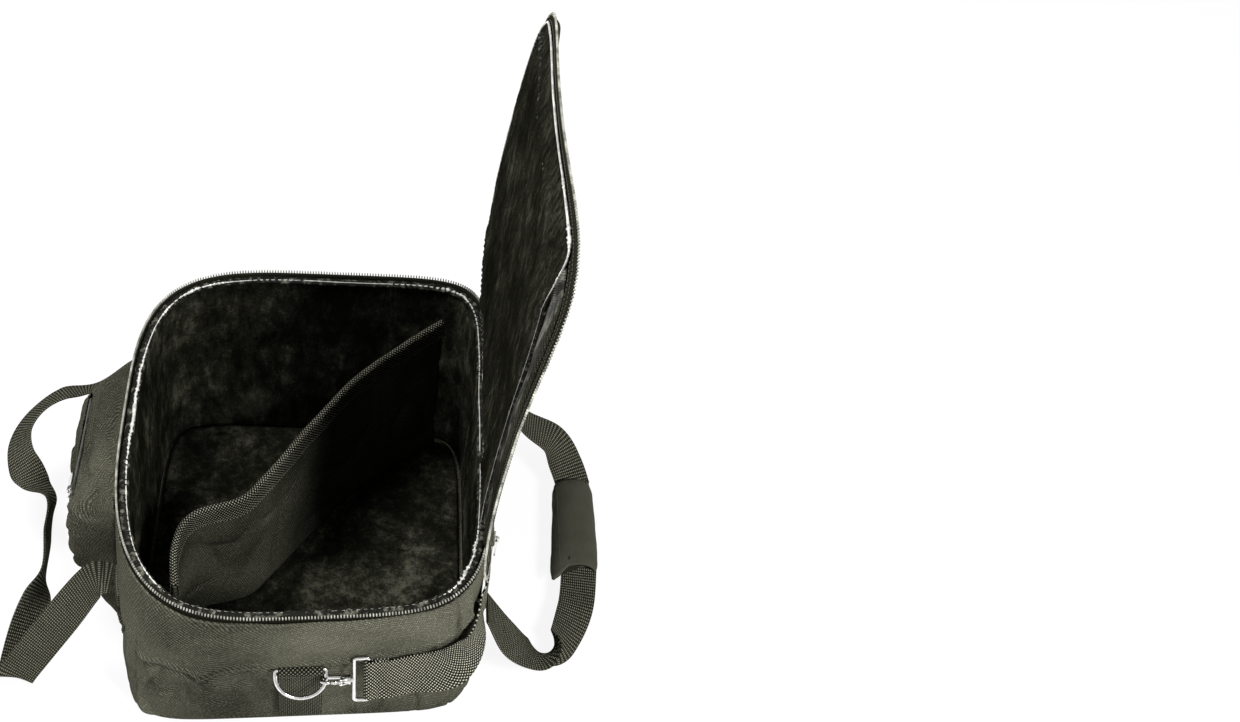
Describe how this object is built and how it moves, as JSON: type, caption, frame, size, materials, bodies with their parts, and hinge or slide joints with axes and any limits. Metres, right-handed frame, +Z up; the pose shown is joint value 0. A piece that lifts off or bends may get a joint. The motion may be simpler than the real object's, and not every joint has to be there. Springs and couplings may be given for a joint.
{
  "type": "drum pedal bag",
  "caption": "Soft boxy bag for drum pedals: zipped hinged lid standing open, plush lining, divider, side pocket, carry handles and a clip-on shoulder strap.",
  "frame": {"origin": "centre of the flat base, on the surface it stands on", "axes": "+Z up, +X towards the side that carries the lid's hinge, -Y towards the front with the main hook"},
  "size_m": [0.6584, 0.5003, 0.6477],
  "materials": {
    "nylon": "woven nylon, fine diagonal weave",
    "webbing": "ribbed nylon webbing",
    "tape": "woven zip tape",
    "chain": "coil zip chain",
    "plush": "short plush pile",
    "foam": "closed-cell foam padding",
    "board": "stiff base board",
    "binding": "glossy bound edge",
    "metal": "plated, polished",
    "wrap": "soft neoprene-like wrap"
  },
  "bodies": {
    "bag": {"base_board": "board", "base_panel": "nylon", "body_foam": "foam", "body_lining": "plush", "body_zip_chain": "chain", "body_zip_tape": "tape", "floor_lining": "plush", "front_band": "nylon", "front_hook_eye": "metal", "front_panel": "nylon", "front_ring_tab": "webbing", "hinge_band": "nylon", "hinge_piping": "nylon", "left_band": "nylon", "left_handle_anchor_front": "webbing", "left_handle_anchor_rear": "webbing", "left_panel": "nylon", "pocket_shell": "nylon", "pocket_top": "nylon", "pocket_zip_chain": "chain", "pocket_zip_tape": "tape", "rear_band": "nylon", "rear_hook_eye": "metal", "rear_panel": "nylon", "rear_ring_tab": "webbing", "right_handle_anchor_front": "webbing", "right_handle_anchor_rear": "webbing", "right_panel": "nylon", "rim_binding": "binding", "shoulder_strap": "webbing", "strap_adjuster": "metal", "zip_tail_front": "nylon", "zip_tail_rear": "nylon"},
    "lid": {"lid_binding": "binding", "lid_foam": "foam", "lid_gusset": "nylon", "lid_lining": "plush", "lid_panel": "nylon", "lid_zip_chain": "chain", "lid_zip_tape": "tape"},
    "front_slider": {"front_slider": "metal"},
    "front_pull": {"front_pull": "metal"},
    "rear_slider": {"rear_slider": "metal"},
    "rear_pull": {"rear_pull": "metal"},
    "pocket_slider": {"pocket_slider": "metal"},
    "pocket_pull": {"pocket_pull": "metal"},
    "left_handle": {"left_handle": "webbing"},
    "right_handle": {"right_handle": "webbing", "grip_wrap": "wrap"},
    "front_ring": {"front_d_ring": "metal"},
    "rear_ring": {"rear_d_ring": "metal"},
    "front_hook": {"front_hook": "metal"},
    "rear_hook": {"rear_hook": "metal"},
    "front_gate": {"front_gate": "metal"},
    "rear_gate": {"rear_gate": "metal"},
    "divider": {"divider": "nylon", "divider_binding": "binding"}
  },
  "joints": [
    {"name": "lid_hinge", "type": "hinge", "parent": "bag", "child": "lid", "pos_m": [0.184, 0, 0.2484], "axis": [0, 1, 0], "range_deg": [-95, 75]},
    {"name": "front_zip_slide", "type": "slide", "parent": "bag", "child": "front_slider", "axis": [-0.0146, 0.0024, -0.9999], "range_m": [0, 0.03]},
    {"name": "front_pull_hinge", "type": "hinge", "parent": "front_slider", "child": "front_pull", "pos_m": [0.19016, -0.14821, 0.23239], "axis": [-0.165, -0.9863, 0], "range_deg": [0, 165]},
    {"name": "rear_zip_slide", "type": "slide", "parent": "bag", "child": "rear_slider", "axis": [-0.023, -0.0018, -0.9997], "range_m": [0, 0.03]},
    {"name": "rear_pull_hinge", "type": "hinge", "parent": "rear_slider", "child": "rear_pull", "pos_m": [0.19318, 0.15058, 0.23233], "axis": [0.0778, -0.997, 0], "range_deg": [0, 165]},
    {"name": "pocket_zip_slide", "type": "slide", "parent": "bag", "child": "pocket_slider", "axis": [0, 1, 0], "range_m": [0, 0.115]},
    {"name": "pocket_pull_hinge", "type": "hinge", "parent": "pocket_slider", "child": "pocket_pull", "pos_m": [-0.241, -0.051, 0.16816], "axis": [0.5131, 0, 0.8583], "range_deg": [0, 165]},
    {"name": "left_handle_swing", "type": "hinge", "parent": "bag", "child": "left_handle", "pos_m": [-0.18471, 0, 0.15], "axis": [0, 1, 0], "range_deg": [0, 85]},
    {"name": "right_handle_swing", "type": "hinge", "parent": "bag", "child": "right_handle", "pos_m": [0.1884, 0, 0.13], "axis": [0, -1, 0], "range_deg": [0, 70]},
    {"name": "divider_lift", "type": "slide", "parent": "bag", "child": "divider", "axis": [0, 0, 1], "range_m": [0, 0.22]},
    {"name": "front_ring_hinge", "type": "hinge", "parent": "bag", "child": "front_ring", "pos_m": [0.00751, -0.23162, 0.12494], "axis": [0.9955, 0.0946, 0], "range_deg": [-3, 0]},
    {"name": "front_hook_swivel", "type": "hinge", "parent": "bag", "child": "front_hook", "pos_m": [0.05331, -0.2331, 0.11444], "axis": [0.9955, 0.0946, 0], "range_deg": [-20, 20]},
    {"name": "front_gate_hinge", "type": "hinge", "parent": "front_hook", "child": "front_gate", "pos_m": [0.04683, -0.23899, 0.11734], "axis": [0.0457, -0.4815, -0.8752], "range_deg": [0, 22], "stiffness_Nm_per_rad": 0.005, "springref_deg": -11.46},
    {"name": "rear_ring_hinge", "type": "hinge", "parent": "bag", "child": "rear_ring", "pos_m": [0.007, 0.22565, 0.12627], "axis": [-1, -0.0003, 0], "range_deg": [-3, 0]},
    {"name": "rear_hook_swivel", "type": "hinge", "parent": "bag", "child": "rear_hook", "pos_m": [0.05245, 0.23298, 0.11676], "axis": [1, 0.0003, 0], "range_deg": [-20, 20]},
    {"name": "rear_gate_hinge", "type": "hinge", "parent": "rear_hook", "child": "rear_gate", "pos_m": [0.04544, 0.23773, 0.12042], "axis": [0.0002, -0.61, 0.7924], "range_deg": [0, 22], "stiffness_Nm_per_rad": 0.005, "springref_deg": -11.46}
  ]
}
